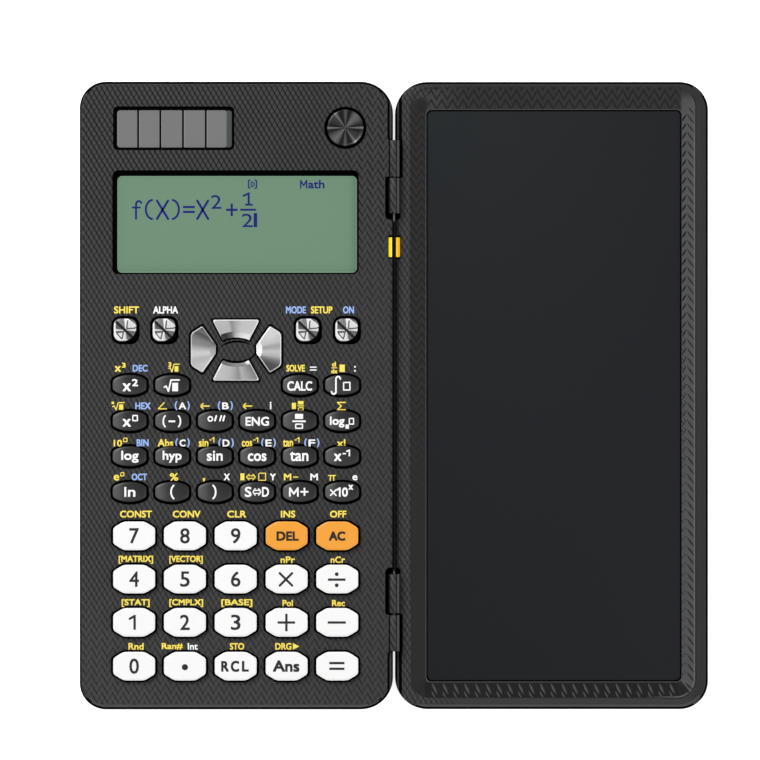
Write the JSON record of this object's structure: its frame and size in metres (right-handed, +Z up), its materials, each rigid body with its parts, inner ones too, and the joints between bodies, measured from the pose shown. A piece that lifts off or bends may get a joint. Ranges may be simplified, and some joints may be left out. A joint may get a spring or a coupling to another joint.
{
  "type": "folding scientific calculator",
  "caption": "Pocket scientific calculator with a fold-over writing-tablet cover, opened flat, with sprung keys, a rocking navigation pad and an erase button.",
  "frame": {"origin": "centre of the footprint, on the table", "axes": "+Z up out of the keyboard face, +Y towards the top edge with the display, -X the calculator half, +X the tablet half, hinge line along Y at X = 0"},
  "size_m": [0.1672, 0.167, 0.0109],
  "materials": {
    "textured_housing": "satin",
    "back_housing": "matte",
    "lcd": "satin",
    "board": "satin",
    "solar": "gloss",
    "silicone": "matte",
    "cell": "satin",
    "ribbon": "gloss",
    "rod": "satin",
    "writing_film": "satin",
    "dark_metal": "polished",
    "plated_key": "polished",
    "function_key": "gloss",
    "number_key": "satin",
    "orange_key": "satin"
  },
  "bodies": {
    "calculator": {"front_housing": "textured_housing", "back_cover": "back_housing", "lcd_glass": "lcd", "circuit_board": "board", "solar_cell": "solar", "key_mat": "silicone", "coin_cell": "cell", "flex_ribbon": "ribbon", "hinge_rod": "rod"},
    "tablet": {"tablet_shell": "textured_housing", "writing_panel": "writing_film"},
    "navigation_left_right": {"dpad_left_right_rocker": "plated_key"},
    "navigation_up_down": {"dpad_up_down_rocker": "plated_key"},
    "key_shift_cap": {"key_shift": "plated_key"},
    "key_alpha_cap": {"key_alpha": "plated_key"},
    "key_mode_cap": {"key_mode": "plated_key"},
    "key_on_cap": {"key_on": "plated_key"},
    "erase_cap": {"erase_button": "dark_metal"},
    "key_square_cap": {"key_square": "function_key"},
    "key_root_cap": {"key_root": "function_key"},
    "key_calc_cap": {"key_calc": "function_key"},
    "key_integral_cap": {"key_integral": "function_key"},
    "key_power_cap": {"key_power": "function_key"},
    "key_negative_cap": {"key_negative": "function_key"},
    "key_degrees_cap": {"key_degrees": "function_key"},
    "key_engineering_cap": {"key_engineering": "function_key"},
    "key_fraction_cap": {"key_fraction": "function_key"},
    "key_log_base_cap": {"key_log_base": "function_key"},
    "key_log_cap": {"key_log": "function_key"},
    "key_hyperbolic_cap": {"key_hyperbolic": "function_key"},
    "key_sine_cap": {"key_sine": "function_key"},
    "key_cosine_cap": {"key_cosine": "function_key"},
    "key_tangent_cap": {"key_tangent": "function_key"},
    "key_reciprocal_cap": {"key_reciprocal": "function_key"},
    "key_natural_log_cap": {"key_natural_log": "function_key"},
    "key_open_bracket_cap": {"key_open_bracket": "function_key"},
    "key_close_bracket_cap": {"key_close_bracket": "function_key"},
    "key_convert_cap": {"key_convert": "function_key"},
    "key_memory_plus_cap": {"key_memory_plus": "function_key"},
    "key_exponent_cap": {"key_exponent": "function_key"},
    "key_7_cap": {"key_7": "number_key"},
    "key_8_cap": {"key_8": "number_key"},
    "key_9_cap": {"key_9": "number_key"},
    "key_delete_cap": {"key_delete": "orange_key"},
    "key_all_clear_cap": {"key_all_clear": "orange_key"},
    "key_4_cap": {"key_4": "number_key"},
    "key_5_cap": {"key_5": "number_key"},
    "key_6_cap": {"key_6": "number_key"},
    "key_multiply_cap": {"key_multiply": "number_key"},
    "key_divide_cap": {"key_divide": "number_key"},
    "key_1_cap": {"key_1": "number_key"},
    "key_2_cap": {"key_2": "number_key"},
    "key_3_cap": {"key_3": "number_key"},
    "key_plus_cap": {"key_plus": "number_key"},
    "key_minus_cap": {"key_minus": "number_key"},
    "key_0_cap": {"key_0": "number_key"},
    "key_point_cap": {"key_point": "number_key"},
    "key_recall_cap": {"key_recall": "number_key"},
    "key_answer_cap": {"key_answer": "number_key"},
    "key_equals_cap": {"key_equals": "number_key"}
  },
  "joints": [
    {"name": "tablet_hinge", "type": "hinge", "parent": "calculator", "child": "tablet", "pos_m": [0, 0, 0.00815], "axis": [0, -1, 0], "range_deg": [0, 180], "deforming": ["flex_ribbon"]},
    {"name": "navigation_left_right_rock", "type": "hinge", "parent": "calculator", "child": "navigation_left_right", "pos_m": [-0.042, 0.012, 0.0068], "axis": [0, 1, 0], "range_deg": [-3.5, 3.5], "stiffness_Nm_per_rad": 0.15},
    {"name": "navigation_up_down_rock", "type": "hinge", "parent": "calculator", "child": "navigation_up_down", "pos_m": [-0.042, 0.012, 0.0057], "axis": [1, 0, 0], "range_deg": [-3.5, 3.5], "stiffness_Nm_per_rad": 0.15},
    {"name": "erase_button_press", "type": "slide", "parent": "calculator", "child": "erase_cap", "axis": [0, 0, -1], "range_m": [0, 0.0006], "stiffness_N_per_m": 300},
    {"name": "key_shift_press", "type": "slide", "parent": "calculator", "child": "key_shift_cap", "axis": [0, 0, -1], "range_m": [0, 0.0009], "stiffness_N_per_m": 300},
    {"name": "key_calc_press", "type": "slide", "parent": "calculator", "child": "key_calc_cap", "axis": [0, 0, -1], "range_m": [0, 0.0009], "stiffness_N_per_m": 300},
    {"name": "key_5_press", "type": "slide", "parent": "calculator", "child": "key_5_cap", "axis": [0, 0, -1], "range_m": [0, 0.0009], "stiffness_N_per_m": 300},
    {"name": "key_equals_press", "type": "slide", "parent": "calculator", "child": "key_equals_cap", "axis": [0, 0, -1], "range_m": [0, 0.0009], "stiffness_N_per_m": 300},
    {"name": "key_alpha_press", "type": "slide", "parent": "calculator", "child": "key_alpha_cap", "axis": [0, 0, -1], "range_m": [0, 0.0009], "stiffness_N_per_m": 300},
    {"name": "key_mode_press", "type": "slide", "parent": "calculator", "child": "key_mode_cap", "axis": [0, 0, -1], "range_m": [0, 0.0009], "stiffness_N_per_m": 300},
    {"name": "key_on_press", "type": "slide", "parent": "calculator", "child": "key_on_cap", "axis": [0, 0, -1], "range_m": [0, 0.0009], "stiffness_N_per_m": 300},
    {"name": "key_square_press", "type": "slide", "parent": "calculator", "child": "key_square_cap", "axis": [0, 0, -1], "range_m": [0, 0.0009], "stiffness_N_per_m": 300},
    {"name": "key_root_press", "type": "slide", "parent": "calculator", "child": "key_root_cap", "axis": [0, 0, -1], "range_m": [0, 0.0009], "stiffness_N_per_m": 300},
    {"name": "key_integral_press", "type": "slide", "parent": "calculator", "child": "key_integral_cap", "axis": [0, 0, -1], "range_m": [0, 0.0009], "stiffness_N_per_m": 300},
    {"name": "key_power_press", "type": "slide", "parent": "calculator", "child": "key_power_cap", "axis": [0, 0, -1], "range_m": [0, 0.0009], "stiffness_N_per_m": 300},
    {"name": "key_negative_press", "type": "slide", "parent": "calculator", "child": "key_negative_cap", "axis": [0, 0, -1], "range_m": [0, 0.0009], "stiffness_N_per_m": 300},
    {"name": "key_degrees_press", "type": "slide", "parent": "calculator", "child": "key_degrees_cap", "axis": [0, 0, -1], "range_m": [0, 0.0009], "stiffness_N_per_m": 300},
    {"name": "key_engineering_press", "type": "slide", "parent": "calculator", "child": "key_engineering_cap", "axis": [0, 0, -1], "range_m": [0, 0.0009], "stiffness_N_per_m": 300},
    {"name": "key_fraction_press", "type": "slide", "parent": "calculator", "child": "key_fraction_cap", "axis": [0, 0, -1], "range_m": [0, 0.0009], "stiffness_N_per_m": 300},
    {"name": "key_log_base_press", "type": "slide", "parent": "calculator", "child": "key_log_base_cap", "axis": [0, 0, -1], "range_m": [0, 0.0009], "stiffness_N_per_m": 300},
    {"name": "key_log_press", "type": "slide", "parent": "calculator", "child": "key_log_cap", "axis": [0, 0, -1], "range_m": [0, 0.0009], "stiffness_N_per_m": 300},
    {"name": "key_hyperbolic_press", "type": "slide", "parent": "calculator", "child": "key_hyperbolic_cap", "axis": [0, 0, -1], "range_m": [0, 0.0009], "stiffness_N_per_m": 300},
    {"name": "key_sine_press", "type": "slide", "parent": "calculator", "child": "key_sine_cap", "axis": [0, 0, -1], "range_m": [0, 0.0009], "stiffness_N_per_m": 300},
    {"name": "key_cosine_press", "type": "slide", "parent": "calculator", "child": "key_cosine_cap", "axis": [0, 0, -1], "range_m": [0, 0.0009], "stiffness_N_per_m": 300},
    {"name": "key_tangent_press", "type": "slide", "parent": "calculator", "child": "key_tangent_cap", "axis": [0, 0, -1], "range_m": [0, 0.0009], "stiffness_N_per_m": 300},
    {"name": "key_reciprocal_press", "type": "slide", "parent": "calculator", "child": "key_reciprocal_cap", "axis": [0, 0, -1], "range_m": [0, 0.0009], "stiffness_N_per_m": 300},
    {"name": "key_natural_log_press", "type": "slide", "parent": "calculator", "child": "key_natural_log_cap", "axis": [0, 0, -1], "range_m": [0, 0.0009], "stiffness_N_per_m": 300},
    {"name": "key_open_bracket_press", "type": "slide", "parent": "calculator", "child": "key_open_bracket_cap", "axis": [0, 0, -1], "range_m": [0, 0.0009], "stiffness_N_per_m": 300},
    {"name": "key_close_bracket_press", "type": "slide", "parent": "calculator", "child": "key_close_bracket_cap", "axis": [0, 0, -1], "range_m": [0, 0.0009], "stiffness_N_per_m": 300},
    {"name": "key_convert_press", "type": "slide", "parent": "calculator", "child": "key_convert_cap", "axis": [0, 0, -1], "range_m": [0, 0.0009], "stiffness_N_per_m": 300},
    {"name": "key_memory_plus_press", "type": "slide", "parent": "calculator", "child": "key_memory_plus_cap", "axis": [0, 0, -1], "range_m": [0, 0.0009], "stiffness_N_per_m": 300},
    {"name": "key_exponent_press", "type": "slide", "parent": "calculator", "child": "key_exponent_cap", "axis": [0, 0, -1], "range_m": [0, 0.0009], "stiffness_N_per_m": 300},
    {"name": "key_7_press", "type": "slide", "parent": "calculator", "child": "key_7_cap", "axis": [0, 0, -1], "range_m": [0, 0.0009], "stiffness_N_per_m": 300},
    {"name": "key_8_press", "type": "slide", "parent": "calculator", "child": "key_8_cap", "axis": [0, 0, -1], "range_m": [0, 0.0009], "stiffness_N_per_m": 300},
    {"name": "key_9_press", "type": "slide", "parent": "calculator", "child": "key_9_cap", "axis": [0, 0, -1], "range_m": [0, 0.0009], "stiffness_N_per_m": 300},
    {"name": "key_delete_press", "type": "slide", "parent": "calculator", "child": "key_delete_cap", "axis": [0, 0, -1], "range_m": [0, 0.0009], "stiffness_N_per_m": 300},
    {"name": "key_all_clear_press", "type": "slide", "parent": "calculator", "child": "key_all_clear_cap", "axis": [0, 0, -1], "range_m": [0, 0.0009], "stiffness_N_per_m": 300},
    {"name": "key_4_press", "type": "slide", "parent": "calculator", "child": "key_4_cap", "axis": [0, 0, -1], "range_m": [0, 0.0009], "stiffness_N_per_m": 300},
    {"name": "key_6_press", "type": "slide", "parent": "calculator", "child": "key_6_cap", "axis": [0, 0, -1], "range_m": [0, 0.0009], "stiffness_N_per_m": 300},
    {"name": "key_multiply_press", "type": "slide", "parent": "calculator", "child": "key_multiply_cap", "axis": [0, 0, -1], "range_m": [0, 0.0009], "stiffness_N_per_m": 300},
    {"name": "key_divide_press", "type": "slide", "parent": "calculator", "child": "key_divide_cap", "axis": [0, 0, -1], "range_m": [0, 0.0009], "stiffness_N_per_m": 300},
    {"name": "key_1_press", "type": "slide", "parent": "calculator", "child": "key_1_cap", "axis": [0, 0, -1], "range_m": [0, 0.0009], "stiffness_N_per_m": 300},
    {"name": "key_2_press", "type": "slide", "parent": "calculator", "child": "key_2_cap", "axis": [0, 0, -1], "range_m": [0, 0.0009], "stiffness_N_per_m": 300},
    {"name": "key_3_press", "type": "slide", "parent": "calculator", "child": "key_3_cap", "axis": [0, 0, -1], "range_m": [0, 0.0009], "stiffness_N_per_m": 300},
    {"name": "key_plus_press", "type": "slide", "parent": "calculator", "child": "key_plus_cap", "axis": [0, 0, -1], "range_m": [0, 0.0009], "stiffness_N_per_m": 300},
    {"name": "key_minus_press", "type": "slide", "parent": "calculator", "child": "key_minus_cap", "axis": [0, 0, -1], "range_m": [0, 0.0009], "stiffness_N_per_m": 300},
    {"name": "key_0_press", "type": "slide", "parent": "calculator", "child": "key_0_cap", "axis": [0, 0, -1], "range_m": [0, 0.0009], "stiffness_N_per_m": 300},
    {"name": "key_point_press", "type": "slide", "parent": "calculator", "child": "key_point_cap", "axis": [0, 0, -1], "range_m": [0, 0.0009], "stiffness_N_per_m": 300},
    {"name": "key_recall_press", "type": "slide", "parent": "calculator", "child": "key_recall_cap", "axis": [0, 0, -1], "range_m": [0, 0.0009], "stiffness_N_per_m": 300},
    {"name": "key_answer_press", "type": "slide", "parent": "calculator", "child": "key_answer_cap", "axis": [0, 0, -1], "range_m": [0, 0.0009], "stiffness_N_per_m": 300}
  ]
}
